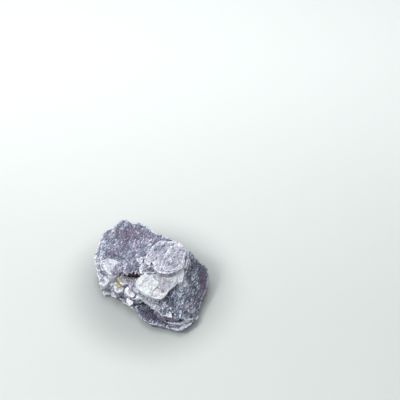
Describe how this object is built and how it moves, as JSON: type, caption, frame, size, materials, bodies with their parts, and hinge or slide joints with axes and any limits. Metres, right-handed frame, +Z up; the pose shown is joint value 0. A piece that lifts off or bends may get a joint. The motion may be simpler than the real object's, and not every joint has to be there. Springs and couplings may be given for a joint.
{
  "type": "raw lepidolite",
  "caption": "Rough lump of layered mica plates grown together, with a flat base to rest on, for display or as set dressing.",
  "frame": {"origin": "on the ground under the middle of the lump", "axes": "+X along the longest side, +Y towards the back, +Z up, the shortest side"},
  "size_m": [0.0622, 0.0582, 0.0274],
  "materials": {
    "lepidolite": "silky lilac-grey mica with a pearly sheen on its plates and darker, finely layered rims"
  },
  "bodies": {
    "root": {"lepidolite_lump": "lepidolite"}
  },
  "joints": []
}
